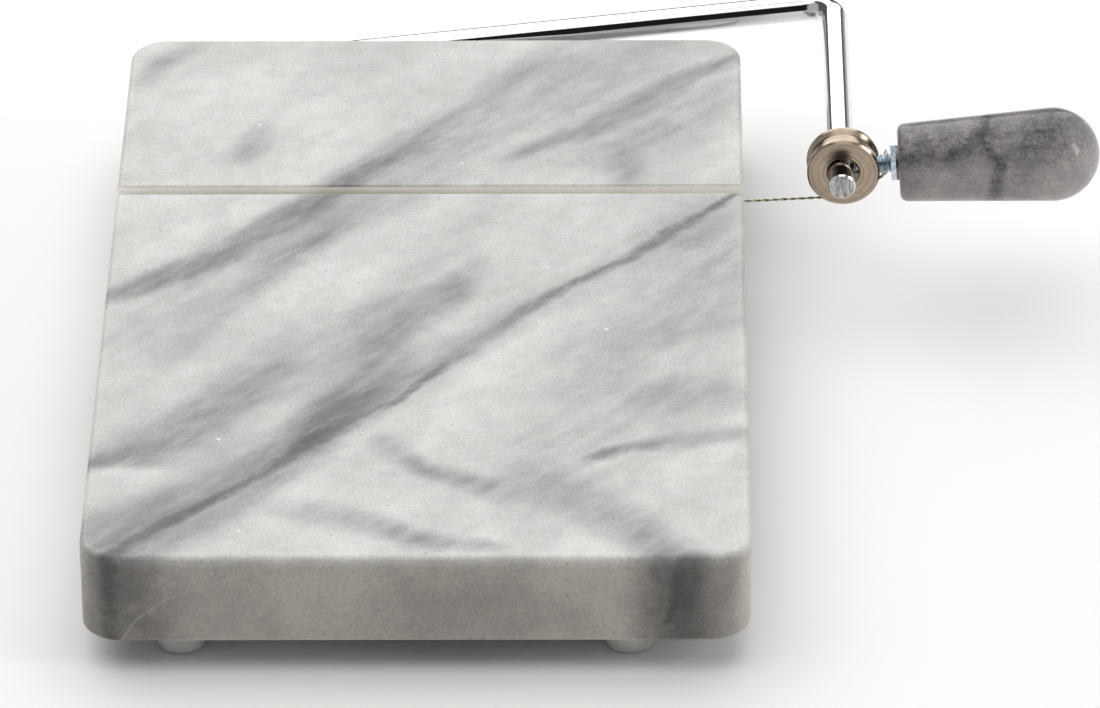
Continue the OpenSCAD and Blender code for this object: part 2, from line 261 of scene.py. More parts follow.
# Veins that run another way: the angle of each, then its points
CROSS_VEINS = [
    (20, [(30, -68, 0.0, 1.6), (36, -64.5, 0.60, 1.8), (40.5, -62, 0.45, 1.6), (47, -60.5, 0.20, 3.0),
          (60, -57, 0.24, 3.4), (70, -54, 0.0, 3)]),
    (-35, [(-12, -54, 0.0, 3.5), (-5, -62, 0.20, 3.6), (1, -70.5, 0.32, 2.6), (7, -73, 0.36, 3.0),
           (13, -76, 0.30, 3.6), (20, -82, 0.0, 4)]),
    (-20, [(-30, -83, 0.0, 3.5), (-20, -86, 0.22, 4.4), (-8, -89, 0.28, 4.0), (-2, -94, 0.30, 3.4),
           (5, -96.5, 0.34, 2.8), (12, -97, 0.26, 2.2), (18, -99, 0.0, 2.2)]),
    (-50, [(14, -66, 0.0, 5), (24, -74, 0.18, 7.0), (32, -82, 0.18, 6.5), (40, -90, 0.26, 6.0),
           (46, -98, 0.42, 5.5), (52, -106, 0.40, 5)]),
    (85, [(-39, 46, 0.0, 3.0), (-37, 55, 0.24, 3.4), (-35, 64, 0.18, 3.0), (-34, 72, 0.0, 3.0)]),
    (88, [(39, 34, 0.0, 3.5), (40, 44, 0.24, 4.0), (40, 52, 0.16, 3.6), (41, 60, 0.0, 3.0)]),
    (10, [(38, -45, 0.0, 5), (48, -43, 0.24, 6.5), (60, -41, 0.18, 6.0), (72, -39, 0.0, 5)]),
]
# Marks on the front face, from its middle at the top edge's height: x, z, strength, half width
FRONT_VEINS = [
    (90, [(-57, -21, 0.10, 9), (-58, -13, 0.20, 9), (-59, -6, 0.36, 9), (-58, 2, 0.18, 9)]),
    (78, [(51, -21, 0.34, 10), (52, -14, 0.46, 10), (53, -7, 0.44, 9), (54, 2, 0.20, 8)]),
    (80, [(49.5, -16, 0.0, 2), (51, -11, 0.35, 3.0), (52, -5, 0.45, 2.6), (53, 0, 0.10, 2)]),
    (75, [(46.5, -16, 0.0, 0.9), (48, -13, 0.42, 0.9), (50, -4, 0.30, 1.2), (51, 2, 0.0, 1.0)]),
    (60, [(55, -14, 0.0, 2.6), (60, -6, 0.22, 3.0), (63, 2, 0.10, 3.0)]),
    (0, [(-20, -9, 0.0, 5), (0, -10, 0.12, 7), (12, -8, 0.20, 7), (24, -11, 0.04, 6),
         (34, -11, 0.0, 5)]),
    (85, [(12.6, -20, 0.50, 0.5), (13, -17, 0.0, 0.5)]),
]
# Pale cracks on the front face
FRONT_CRACKS = [
    (30, [(-56, -19, 0.7, 0.35), (-53, -14, 0.6, 0.3), (-47, -9.3, 0.5, 0.3), (-36, -5.2, 0.35, 0.3),
          (-28, -3.5, 0.0, 0.3)]),
]


def vein(g, x, y, angle, points):
    """The strength of one vein at x, y. One ramp along its angle holds its middle, strength and width."""
    c, s = math.cos(math.radians(angle)), math.sin(math.radians(angle))
    along = g.math("MULTIPLY_ADD", x, c, g.math("MULTIPLY", y, s))
    across = g.math("MULTIPLY_ADD", x, -s, g.math("MULTIPLY", y, c))
    stops = []
    for px, py, strength, width in points:
        u, v = px * c + py * s, -px * s + py * c
        stops.append(((u / VEIN_REACH + 1) / 2, ((v / VEIN_REACH + 1) / 2, strength, width / WIDEST)))
    at = g.math("MULTIPLY_ADD", along, 0.5 / VEIN_REACH, 0.5)
    middle, strength, width = g.separate(g.ramp(at, sorted(stops)))
    off = g.math("SUBTRACT", across, g.math("MULTIPLY_ADD", middle, 2 * VEIN_REACH, -VEIN_REACH))
    wide = g.math("MULTIPLY", width, WIDEST)
    return g.fade(g.math("ABSOLUTE", off), 0.0, g.math("MULTIPLY", wide, VEIN_EDGE), strength, 0.0)


def total(g, values):
    result = values[0]
    for value in values[1:]:
        result = g.math("ADD", result, value)
    return result


def streaked(g, where, angle, stretch):
    """Coordinates stretched along an angle in the XY plane, for streaky noise."""
    back = -math.radians(angle)
    turned = g.node("VectorRotate", {"Vector": where, "Angle": back}, rotation_type="Z_AXIS").outputs[0]
    return g.vector("MULTIPLY", turned, (1 / stretch, 1, 1))


def white_marble():
    g = Graph("white_marble")
    where = g.millimetres((BOARD_MID.x, BOARD_MID.y, BOARD_TOP))
    # the veins are a little ragged
    shake = g.vector("SUBTRACT", g.noise(where, 0.28, 5, 0.65, colour=True), (0.5, 0.5, 0.5))
    bent = g.vector("ADD", where, g.vector("MULTIPLY", shake, (2.6, 2.6, 2.6)))
    x, y, z = g.separate(bent)
    # and streaky along their length
    soft_veins = [(VEIN_ANGLE, points) for points in VEINS[1:]] + CROSS_VEINS
    soft = total(g, [vein(g, x, y, a, p) for a, p in soft_veins])
    streaks = g.noise(streaked(g, where, VEIN_ANGLE, 4.0), 0.22, 5, 0.62)
    soft = g.math("MULTIPLY", soft, g.fade(streaks, 0.25, 0.75, 0.72, 1.85))
    sharp = vein(g, x, y, VEIN_ANGLE, VEINS[0])
    broken = g.noise(streaked(g, where, VEIN_ANGLE, 2.5), 0.5, 3, 0.6)
    sharp = g.math("MULTIPLY", sharp, g.fade(broken, 0.30, 0.62, 0.70, 1.70))
    # marks that show on the front face only
    real_x, real_y, real_z = g.separate(where)
    front_y = (BOARD_LO.y - BOARD_MID.y) / MM
    near_front = g.fade(real_y, front_y + 0.6, front_y + 3.5, 1.0, 0.0)
    front = total(g, [vein(g, x, z, a, p) for a, p in FRONT_VEINS])
    front = g.math("MULTIPLY", front, near_front)
    crack = total(g, [vein(g, real_x, real_z, a, p) for a, p in FRONT_CRACKS])
    crack = g.math("MULTIPLY", crack, near_front)
    density = g.math("ADD", g.math("ADD", soft, sharp), front)
    # a faint cloud over the whole slab, and the crystal grain
    cloud = g.noise(streaked(g, where, VEIN_ANGLE, 2.0), 0.045, 5, 0.6)
    patchy = g.noise(where, 0.20, 4, 0.6)
    density = g.math("ADD", density, g.fade(cloud, 0.34, 0.68, 0.01, 0.20))
    density = g.math("ADD", density, g.fade(patchy, 0.36, 0.70, 0.0, 0.08))
    grain = g.noise(where, 1.8, 3, 0.7)
    density = g.math("ADD", density, g.math("MULTIPLY_ADD", grain, 0.58, -0.29))
    clear = g.math("POWER", LIGHT_LEFT, density)
    colour = g.ramp(clear, [
        (0.0, (0.050, 0.050, 0.054)), (0.25, (0.165, 0.166, 0.170)), (0.50, (0.330, 0.331, 0.326)),
        (0.75, (0.500, 0.501, 0.486)), (1.0, (0.665, 0.667, 0.645))])
    # dark specks and bright flecks
    speck = g.flecks(where, 0.45, 0.08, 0.20, 0, 0.72, 0.80)
    colour = g.mix(g.math("MULTIPLY", speck, 0.35), colour, (0.22, 0.22, 0.23))
    fleck = g.flecks(where, 0.12, 0.03, 0.07, 1, 0.70, 0.74)
    pale = g.math("MAXIMUM", g.math("MULTIPLY", fleck, 0.8), g.math("MULTIPLY", crack, 0.4))
    colour = g.mix(pale, colour, (0.80, 0.80, 0.79))
    # the sawn groove is duller, and its walls are painted near white and warm: painted light where they glow
    # through the stone
    groove_y = (WIRE_Y - BOARD_MID.y) / MM
    from_groove = g.math("ABSOLUTE", g.math("SUBTRACT", real_y, groove_y))
    in_groove = g.fade(from_groove, GROOVE_HALF - 0.05, GROOVE_HALF + 0.07, 1.0, 0.0)
    in_groove = g.math("MULTIPLY", in_groove, g.fade(real_z, -0.5, -0.25, 1.0, 0.0))
    # its floor runs under the wire, all the way across
    slope = WIRE_DIR.z / WIRE_DIR.x
    floor_at_middle = (WIRE_LO.z - BOARD_TOP + (BOARD_MID.x - WIRE_LO.x) * slope) / MM - WIRE_OFF_FLOOR
    over_floor = g.math("SUBTRACT", real_z, g.math("MULTIPLY_ADD", real_x, slope, floor_at_middle))
    in_groove = g.math("MULTIPLY", in_groove, g.fade(over_floor, -0.35, -0.20))
    # painted light: the groove's walls are painted near white
    colour = g.mix(g.math("MULTIPLY", in_groove, 0.95), colour, (0.99, 0.97, 0.93))
    # painted shade: the sawn sides are painted darker and warmer than the honed top, but for a paler line along
    # their top, painted light where the edge glows
    upwards = g.separate(g.node("TexCoord").outputs["Normal"])[2]
    painted_side_shade = g.fade(g.math("ABSOLUTE", upwards), 0.25, 0.90, 1.0, 0.0)
    painted_side_shade = g.math("MULTIPLY", painted_side_shade, g.fade(real_z, -3.0, -0.8, 1.0, 0.45))
    painted_side_shade = g.math("MULTIPLY", painted_side_shade, g.math("SUBTRACT", 1.0, in_groove))
    # painted shade on the sides, with painted light along their top edge
    colour = g.mix(painted_side_shade, colour, (0.74, 0.70, 0.665), blend="MULTIPLY")
    rough = g.fade(g.noise(where, 0.9, 3, 0.6), 0.3, 0.7, 0.30, 0.42)
    rough = g.math("MAXIMUM", rough, g.math("MULTIPLY", in_groove, 0.75))
    height = g.math("MULTIPLY_ADD", g.noise(where, 2.2, 3, 0.6), 0.5, g.math("MULTIPLY", density, -0.4))
    height = g.math("ADD", height, g.math("MULTIPLY", g.noise(where, 0.25, 2, 0.5), 0.8))
    return g.finish(Base_Color=colour, Roughness=rough, Normal=g.bump(height, 0.00003, 0.6),
                    Specular_IOR_Level=0.30,
                    Subsurface_Weight=g.math("MULTIPLY_ADD", in_groove, 0.4, 0.6),
                    Subsurface_Radius=(1.0, 0.9, 0.78),
                    Subsurface_Scale=g.math("MULTIPLY_ADD", in_groove, 0.0065, 0.0035))


# ---------------------------------------------------------------- grey marble
# The handle's veins are drawn on the plane through its axis and this direction, and run square to it
VEINS_UP = Vector((0, math.sin(CAMERA_DOWN), math.cos(CAMERA_DOWN)))
# Angle, then millimetres from the wheel's axis along the handle, height over it, strength, half width
GRIP_VEINS = [
    (70, [(31.5, 14, 0.0, 0.8), (30.2, 9.6, 0.44, 0.9), (28.8, 5.6, 0.36, 0.6), (27.4, 3.6, 0.60, 0.7),
          (25.0, 0.0, 0.0, 0.5)]),
    (70, [(31.5, 14, 0.0, 2.2), (30.2, 9.6, 0.20, 2.4), (28.8, 5.6, 0.22, 1.9), (27.4, 3.6, 0.28, 1.9),
          (25.0, 0.0, 0.0, 1.4)]),
    (25, [(29.5, 5.2, 0.0, 0.6), (27.5, 3.6, 0.50, 0.55), (24.7, 2.2, 0.30, 0.6),
          (22.2, 0.9, 0.40, 0.45), (19.5, -0.4, 0.0, 0.5)]),
    (25, [(29.5, 5.2, 0.0, 1.6), (27.5, 3.6, 0.28, 1.6), (24.7, 2.2, 0.20, 1.6), (22.2, 0.9, 0.22, 1.3),
          (19.5, -0.4, 0.0, 1.2)]),
    (-62, [(27.5, 4.2, 0.0, 0.6), (29.3, 1.8, 0.26, 0.8), (31.0, -1.0, 0.24, 1.2),
           (32.6, -4.0, 0.0, 1.2)]),
    (75, [(32.8, 1.0, 0.0, 1.3), (31.6, -2.6, 0.30, 1.4), (30.6, -5.8, 0.50, 1.3),
          (30.2, -8.6, 0.34, 1.6), (30.0, -12, 0.2, 1.5)]),
    # a broad dark band along the upper side: partly a vein, partly painted shade that darkens the top
    (4, [(6, 5.0, 0.44, 5.0), (16, 5.0, 0.46, 5.4), (26, 5.0, 0.46, 5.6), (36, 5.0, 0.44, 6.0),
         (46, 5.4, 0.44, 6.0), (56, 5.4, 0.40, 6.0)]),
    (8, [(4, 0.2, 0.30, 2.0), (12, 0.6, 0.26, 2.4), (20, 0.4, 0.16, 2.4), (27, 0.8, 0.0, 2.0)]),
    (80, [(14.5, -2, 0.0, 2.4), (13.8, -6, 0.20, 2.8), (13.2, -10, 0.16, 2.8)]),
    (60, [(28, -12, 0.20, 3.4), (33, -5, 0.24, 4.0), (38, 2, 0.24, 4.6), (43, 9, 0.16, 4.6)]),
]


def grey_marble():
    g = Graph("grey_marble")
    where = g.millimetres(WHEEL)
    shake = g.vector("SUBTRACT", g.noise(where, 0.55, 5, 0.72, colour=True), (0.5, 0.5, 0.5))
    bent = g.vector("ADD", where, g.vector("MULTIPLY", shake, (2.4, 2.4, 2.4)))
    along = g.vector("DOT_PRODUCT", bent, tuple(HANDLE_DIR))
    upwards = (VEINS_UP - VEINS_UP.dot(HANDLE_DIR) * HANDLE_DIR).normalized()
    side = g.vector("DOT_PRODUCT", bent, tuple(upwards))
    veins = total(g, [vein(g, along, side, a, p) for a, p in GRIP_VEINS])
    cloud = g.noise(where, 0.11, 4, 0.6)
    uneven = g.fade(g.noise(where, 0.9, 3, 0.6), 0.3, 0.7, 0.7, 1.2)
    density = g.math("MULTIPLY_ADD", veins, uneven, g.fade(cloud, 0.32, 0.70, 0.10, 0.36))
    grain = g.noise(where, 2.2, 3, 0.8)
    density = g.math("ADD", density, g.math("MULTIPLY_ADD", grain, 1.0, -0.50), clamp=True)
    colour = g.ramp(density, [
        (0.0, (0.500, 0.466, 0.455)), (0.25, (0.360, 0.333, 0.327)), (0.5, (0.220, 0.204, 0.202)),
        (0.8, (0.100, 0.095, 0.098)), (1.0, (0.050, 0.049, 0.053))])
    tint = g.noise(where, 0.18, 2, 0.5)
    colour = g.mix(g.fade(tint, 0.42, 0.66, 0.0, 0.30), colour, (0.23, 0.225, 0.25))
    fleck = g.flecks(where, 0.55, 0.06, 0.16, 1, 0.80, 0.86)
    colour = g.mix(g.math("MULTIPLY", fleck, 0.55), colour, (0.50, 0.49, 0.48))
    rough = g.fade(g.noise(where, 0.8, 3, 0.6), 0.3, 0.7, 0.26, 0.38)
    height = g.math("MULTIPLY_ADD", g.noise(where, 2.2, 3, 0.6), 0.5, g.math("MULTIPLY", density, -0.3))
    return g.finish(Base_Color=colour, Roughness=rough, Normal=g.bump(height, 0.00002, 0.5),
                    Specular_IOR_Level=0.12, Coat_Weight=0.42, Coat_Roughness=0.07,
                    Subsurface_Weight=0.06, Subsurface_Radius=(1.0, 0.95, 0.9), Subsurface_Scale=0.001)


# ---------------------------------------------------------------- metals and small parts
def chrome():
    g = Graph("chrome_rod")
    where = g.millimetres(WHEEL)
    # the sawn end faces forwards, in front of the wheel
    ahead = g.separate(g.node("TexCoord").outputs["Normal"])[1]
    in_front = g.fade(g.separate(where)[1], -2, -1, 1.0, 0.0)
    tip = g.math("MULTIPLY", g.fade(ahead, -0.97, -0.90, 1.0, 0.0), in_front)
    torn = g.noise(g.vector("MULTIPLY", where, (1.0, 1.0, 0.22)), 2.6, 4, 0.65)
    sawn = g.ramp(torn, [
        (0.34, (0.20, 0.20, 0.20)), (0.50, (0.48, 0.48, 0.475)), (0.64, (0.76, 0.76, 0.75))])
    scuffs = g.noise(where, 0.35, 4, 0.6)
    colour = g.mix(g.fade(scuffs, 0.35, 0.75, 0.0, 0.5), (0.80, 0.81, 0.83), (0.70, 0.71, 0.74))
    colour = g.mix(tip, colour, sawn)
    rough = g.fade(g.noise(where, 1.2, 3, 0.6), 0.3, 0.8, 0.045, 0.13)
    rough = g.math("MAXIMUM", rough, g.math("MULTIPLY", tip, 0.52))
    height = g.math("ADD", g.math("MULTIPLY", g.noise(where, 0.5, 3, 0.5), 0.10),
                    g.math("MULTIPLY", g.math("MULTIPLY", tip, torn), 3.0))
    return g.finish(Base_Color=colour, Metallic=1.0, Roughness=rough, Normal=g.bump(height, 0.00005, 0.8))


def nickel():
    g = Graph("turned_nickel")
    where = g.millimetres(WHEEL)
    x, y, z = g.separate(where)
    r = g.vector("LENGTH", g.combine(x, 0.0, z))
    rings = g.noise(g.combine(r, y, 0.0), 3.4, 3, 0.8)
    coarse = g.noise(g.combine(r, y, 0.0), 1.6, 2, 0.5)
    stain = g.noise(where, 0.5, 4, 0.6)
    colour = g.mix(g.fade(stain, 0.35, 0.75), (0.435, 0.355, 0.272), (0.37, 0.295, 0.226))
    colour = g.mix(g.fade(rings, 0.44, 0.64, 0.0, 0.70), colour, (0.21, 0.166, 0.126))
    rough = g.fade(stain, 0.3, 0.7, 0.17, 0.24)
    height = g.math("ADD", rings, g.math("MULTIPLY", coarse, 0.8))
    return g.finish(Base_Color=colour, Metallic=1.0, Roughness=rough, Anisotropic=0.55,
                    Tangent=g.node("Tangent", direction_type="RADIAL", axis="Y").outputs[0],
                    Normal=g.bump(height, 0.00003, 0.6))


def zinc():
    g = Graph("blue_zinc")
    where = g.millimetres(WHEEL)
    tint = g.noise(where, 0.9, 3, 0.6)
    colour = g.ramp(tint, [
        (0.30, (0.30, 0.44, 0.58)), (0.50, (0.52, 0.60, 0.68)), (0.72, (0.74, 0.76, 0.76))])
    rough = g.fade(g.noise(where, 2.5, 3, 0.6), 0.3, 0.7, 0.18, 0.34)
    return g.finish(Base_Color=colour, Metallic=1.0, Roughness=rough,
                    Normal=g.bump(g.noise(where, 3.5, 3, 0.6), 0.00003, 0.5))


def dark_steel():
    g = Graph("oiled_steel")
    where = g.millimetres(WHEEL)
    stain = g.noise(where, 1.4, 4, 0.6)
    colour = g.mix(stain, (0.10, 0.10, 0.11), (0.24, 0.24, 0.25))
    return g.finish(Base_Color=colour, Metallic=1.0, Roughness=g.fade(stain, 0.3, 0.7, 0.28, 0.45),
                    Normal=g.bump(stain, 0.00003, 0.6))


def wire_steel():
    g = Graph("wire_steel")
    where = g.millimetres(WHEEL)
    stain = g.noise(where, 0.8, 4, 0.65)
    colour = g.ramp(stain, [
        (0.3, (0.34, 0.29, 0.22)), (0.5, (0.50, 0.45, 0.37)), (0.7, (0.68, 0.63, 0.55))])
    # painted shade: the seam between its strands is painted dark, all along its straight part
    start = (WIRE_START - WHEEL) / MM
    square = Vector((-WIRE_DIR.z, 0, WIRE_DIR.x))
    over = g.math("SUBTRACT", g.vector("DOT_PRODUCT", where, tuple(square)), start.dot(square))
    off = g.vector("LENGTH", g.combine(over, g.separate(where)[1], 0.0))
    seam = g.fade(off, 0.30 * WIRE_R / MM, 0.75 * WIRE_R / MM, 1.0, 0.0)
    # painted shade in the crease between the strands
    colour = g.mix(seam, colour, (0.035, 0.028, 0.02))
    return g.finish(Base_Color=colour, Metallic=1.0, Roughness=g.fade(stain, 0.3, 0.7, 0.24, 0.40),
                    Normal=g.bump(g.noise(where, 6, 2, 0.5), 0.00001, 0.5))


def brass():
    g = Graph("turned_brass")
    where = g.millimetres(WHEEL)
    stain = g.noise(where, 0.7, 4, 0.6)
    colour = g.mix(stain, (0.72, 0.52, 0.24), (0.52, 0.36, 0.16))
    return g.finish(Base_Color=colour, Metallic=1.0, Roughness=g.fade(stain, 0.3, 0.7, 0.22, 0.38),
                    Normal=g.bump(g.noise(where, 5, 2, 0.5), 0.00002, 0.5))


def rubber():
    g = Graph("pale_rubber")
    where = g.millimetres()
    mottle = g.noise(where, 0.35, 4, 0.6)
    dust = g.noise(where, 4.0, 3, 0.7)
    colour = g.mix(g.fade(mottle, 0.3, 0.7), (0.70, 0.69, 0.67), (0.60, 0.59, 0.575))
    colour = g.mix(g.fade(dust, 0.55, 0.75, 0.0, 0.35), colour, (0.46, 0.45, 0.44))
    return g.finish(Base_Color=colour, Roughness=g.fade(mottle, 0.3, 0.7, 0.50, 0.66),
                    Normal=g.bump(dust, 0.00005, 0.5), Subsurface_Weight=0.15,
                    Subsurface_Radius=(1.0, 0.95, 0.9), Subsurface_Scale=0.001)


def foam():
    g = Graph("foam_tape")
    where = g.millimetres()
    cells = g.node("TexVoronoi", {"Vector": where, "Scale": 4.0}).outputs["Distance"]
    colour = g.mix(g.fade(cells, 0.1, 0.6), (0.74, 0.74, 0.71), (0.86, 0.86, 0.84))
    return g.finish(Base_Color=colour, Roughness=g.fade(cells, 0.1, 0.6, 0.85, 0.7),
                    Normal=g.bump(cells, 0.00008, 0.7))


def nylon():
    g = Graph("natural_nylon")
    where = g.millimetres()
    mottle = g.noise(where, 0.5, 3, 0.6)
    colour = g.mix(mottle, (0.80, 0.77, 0.69), (0.70, 0.67, 0.60))
    return g.finish(Base_Color=colour, Roughness=g.fade(mottle, 0.3, 0.7, 0.34, 0.46),
                    Normal=g.bump(g.noise(where, 2.0, 3, 0.5), 0.00003, 0.5), Subsurface_Weight=0.2,
                    Subsurface_Radius=(1.0, 0.95, 0.85), Subsurface_Scale=0.001)


def wear(node, material):
    NODES[node].data.materials.clear()
    NODES[node].data.materials.append(material)


WIRE_STEEL, ZINC, BRASS, RUBBER, FOAM = wire_steel(), zinc(), brass(), rubber(), foam()
wear("board", white_marble())
wear("handle_grip", grey_marble())
wear("arm_rod", chrome())
wear("tension_wheel", nickel())
wear("jam_nut", ZINC)
wear("lock_washer", dark_steel())
wear("pivot_sleeve", nylon())
wear("handle_insert", BRASS)
wear("wire_end_ball", BRASS)
for corner in ("front_left", "front_right", "back_left", "back_right"):
    wear("foot_" + corner, RUBBER)
    wear("foot_pad_" + corner, FOAM)


# ---------------------------------------------------------------- new pieces
def piece(name, vertices, faces, material, body, node):
    mesh = bpy.data.meshes.new(name)
    mesh.from_pydata([tuple(v) for v in vertices], [], faces)
    mesh.polygons.foreach_set("use_smooth", [True] * len(mesh.polygons))
    mesh.materials.append(material)
    mesh.update()
    made = bpy.data.objects.new(name, mesh)
    bpy.context.scene.collection.objects.link(made)
    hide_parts(node)
    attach(made, body)
    return made


def frames_along(path):
    """Unit tangent and two unit normals at each point of a path, carried along with no twist."""
    tangent = np.gradient(path, axis=0)
    tangent /= np.linalg.norm(tangent, axis=1)[:, None]
    normal = np.zeros_like(path)
    first = np.cross(tangent[0], (0.0, 1.0, 0.0))
    if np.linalg.norm(first) < 0.1:
        first = np.cross(tangent[0], (1.0, 0.0, 0.0))
    normal[0] = first / np.linalg.norm(first)
    for i in range(1, len(path)):
        n = normal[i - 1] - tangent[i] * (normal[i - 1] @ tangent[i])
        normal[i] = n / np.linalg.norm(n)
    return tangent, normal, np.cross(tangent, normal)


def even(path, step):
    """The same path with points a step apart."""
    gone = np.concatenate([[0], np.cumsum(np.linalg.norm(np.diff(path, axis=0), axis=1))])
    at = np.linspace(0, gone[-1], max(4, int(round(gone[-1] / step)) + 1))
    return np.column_stack([np.interp(at, gone, path[:, k]) for k in range(3)]), at


END_OUT, END_NARROW = 0.5, 0.6     # a tube's rounded end: how far out and how narrow, in radii


def tube(path, radius, sides, start=0):
    """Vertices and faces of a round tube with rounded ends along a path."""
    tangent, n, b = frames_along(path)
    turn = np.arange(sides) * 2 * math.pi / sides
    ring = np.cos(turn)[None, :, None] * n[:, None] + np.sin(turn)[None, :, None] * b[:, None]
    body = path[:, None] + radius * ring
    out, narrow = END_OUT * radius, END_NARROW * radius
    first = path[:1, None] - out * tangent[:1, None] + narrow * ring[:1]
    last = path[-1:, None] + out * tangent[-1:, None] + narrow * ring[-1:]
    rings = np.concatenate([first, body, last])
    count = len(rings)
    vertices = list(rings.reshape(-1, 3))
    faces = []
    for i in range(count - 1):
        for k in range(sides):
            j = (k + 1) % sides
            faces.append((start + i * sides + k, start + i * sides + j,
                          start + (i + 1) * sides + j, start + (i + 1) * sides + k))
    faces.append(tuple(start + k for k in reversed(range(sides))))
    faces.append(tuple(start + (count - 1) * sides + k for k in range(sides)))
    return vertices, faces


STRAND_R = WIRE_R / 2
TWIST_PITCH = 3.66 * MM
TWIST_STEP = TWIST_PITCH / 12
STRAND_SIDES = 10


def twisted(path, phase=0.0):
    """Two strands laid round each other along a path."""
    path, at = even(path, TWIST_STEP)
    _, n, b = frames_along(path)
    vertices, faces = [], []
    for k in range(2):
        turn = phase + at * 2 * math.pi / TWIST_PITCH + k * math.pi
        strand = path + STRAND_R * (np.cos(turn)[:, None] * n + np.sin(turn)[:, None] * b)
        v, f = tube(strand, STRAND_R, STRAND_SIDES, len(vertices))
        vertices += v
        faces += f
    return vertices, faces


def cutting_wire():
    path = np.array([WIRE_START, WIRE_START.lerp(WIRE_END, 0.5), WIRE_END])
    v, f = twisted(path)
    piece("wire_twisted", v, f, WIRE_STEEL, "wire", "cutting_wire")


cutting_wire()

# the handle's own axes: outwards, forwards and up
AXIS = np.array(HANDLE_DIR)
FORE = np.array((0.0, -1.0, 0.0))
RISE = np.cross(AXIS, np.array((0.0, 1.0, 0.0)))
HUB = np.array(WHEEL)
STUD_LO, STUD_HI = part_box("handle_stud")
STUD_R = (STUD_HI.y - STUD_LO.y) / 2
STUD_FROM = (STUD_LO.x + STUD_R * HANDLE_DIR.z - WHEEL.x) / HANDLE_DIR.x
STUD_TO = (STUD_HI.x - STUD_R * HANDLE_DIR.z - WHEEL.x) / HANDLE_DIR.x
LOOP_FROM_AXIS = 8.4 * MM          # from the wheel's axis to the loop round the stud
LOOP_CLEAR = 0.05 * MM
LOOP_OVERLAP = 0.25                # radians that each of its ends runs past the crossing
LOOP_SLACK = 0.55 * MM             # how far it stands off at the top
LOOP_BACK, LOOP_LEAN = 0.25 * MM, 0.75 * MM    # along the stud: its foot back, its top out from there
LOOP_APART = 0.3 * MM              # half the distance between its two ends
LOOP_STEP = 0.12 * MM
ARC_POINTS, LEAD_POINTS, LOOP_POINTS = 40, 12, 90


def wire_end():
    """The wire's end: round the wheel's rim, up to the stud and, as one strand, once round it."""
    loop_r = STUD_R + LOOP_CLEAR + WIRE_R
    away = math.hypot(LOOP_FROM_AXIS, loop_r)
    tilt = math.atan2(HANDLE_DIR.z, HANDLE_DIR.x)
    leave = tilt - math.atan2(loop_r, LOOP_FROM_AXIS) - math.acos(WRAP_R / away)
    begin = math.atan2(WIRE_DIR.z, WIRE_DIR.x) - math.pi / 2
    turn = np.linspace(begin, leave, ARC_POINTS)
    arc = HUB + WRAP_R * np.column_stack([np.cos(turn), np.zeros(ARC_POINTS), np.sin(turn)])
    lead_end = HUB + AXIS * LOOP_FROM_AXIS - RISE * loop_r
    lead = np.linspace(arc[-1], lead_end, LEAD_POINTS)[1:]
    v, f = twisted(np.vstack([arc, lead]))
    # the loop stands clear of the stud at the top, and crosses itself underneath
    turn = np.linspace(-LOOP_OVERLAP, 2 * math.pi + LOOP_OVERLAP, LOOP_POINTS)
    high = 0.5 - 0.5 * np.cos(turn)
    radius = STUD_R + 1.25 * STRAND_R + high * LOOP_SLACK
    along = LOOP_FROM_AXIS - LOOP_BACK + high * LOOP_LEAN + np.cos(turn / 2) * LOOP_APART
    ring = (HUB + AXIS * along[:, None] + FORE * (np.sin(turn) * radius)[:, None]
            - RISE * (np.cos(turn) * radius)[:, None])
    ring, _ = even(ring, LOOP_STEP)
    lv, lf = tube(ring, STRAND_R, STRAND_SIDES, len(v))
    piece("wire_end_twisted", v + lv, f + lf, WIRE_STEEL, "wheel", "wire_end_loop")


wire_end()

THREAD_PITCH = 0.7 * MM
THREAD_DEPTH = 0.42 * MM
THREAD_TO = 12 * MM                # from the wheel's axis
THREAD_STEPS = 14                  # to one turn, along the stud
THREAD_SIDES = 48
CREST, FLANKS = 0.10, 0.78         # shares of half a pitch
THREAD_FADE = 0.2 * MM             # from its end to the plain stud
TIP_DEPTH = 1.6 * THREAD_DEPTH
BEVEL_ROWS, BEVEL_SLOPE = 8, 1.2   # of the tip: rows of points, and radius gained along the stud


def stud():
    """The handle's stud with a right-hand thread where it can be seen."""
    threaded = np.arange(STUD_FROM, THREAD_TO, THREAD_PITCH / THREAD_STEPS)
    along = np.concatenate([[STUD_FROM], threaded, [THREAD_TO + THREAD_FADE, STUD_TO]])
    turn = np.arange(THREAD_SIDES) * 2 * math.pi / THREAD_SIDES
    phase = (along[:, None] / THREAD_PITCH - turn[None] / (2 * math.pi)) % 1
    wave = np.clip((np.abs(2 * phase - 1) - CREST) / FLANKS, 0, 1)
    radius = STUD_R - THREAD_DEPTH * (1 - wave)
    # its tip is bevelled, and it is plain inside the handle
    root = STUD_R - THREAD_DEPTH
    radius[0] = STUD_R - TIP_DEPTH
    bevel = slice(1, BEVEL_ROWS)
    radius[bevel] = np.minimum(radius[bevel], root + (along[bevel, None] - STUD_FROM) * BEVEL_SLOPE)
    radius[-2:] = root
    y = np.array((0.0, 1.0, 0.0))
    points = (HUB + along[:, None, None] * AXIS + radius[..., None]
              * (np.cos(turn)[None, :, None] * y + np.sin(turn)[None, :, None] * RISE))
    rows, sides = radius.shape
    faces = []
    for i in range(rows - 1):
        for k in range(sides):
            j = (k + 1) % sides
            faces.append((i * sides + k, i * sides + j, (i + 1) * sides + j, (i + 1) * sides + k))
    faces.append(tuple(reversed(range(sides))))
    faces.append(tuple((rows - 1) * sides + k for k in range(sides)))
    points = points.reshape(-1, 3)
    made = piece("stud_threaded", points, faces, ZINC, "handle", "handle_stud")
    for polygon in made.data.polygons[-2:]:
        polygon.use_smooth = False


stud()

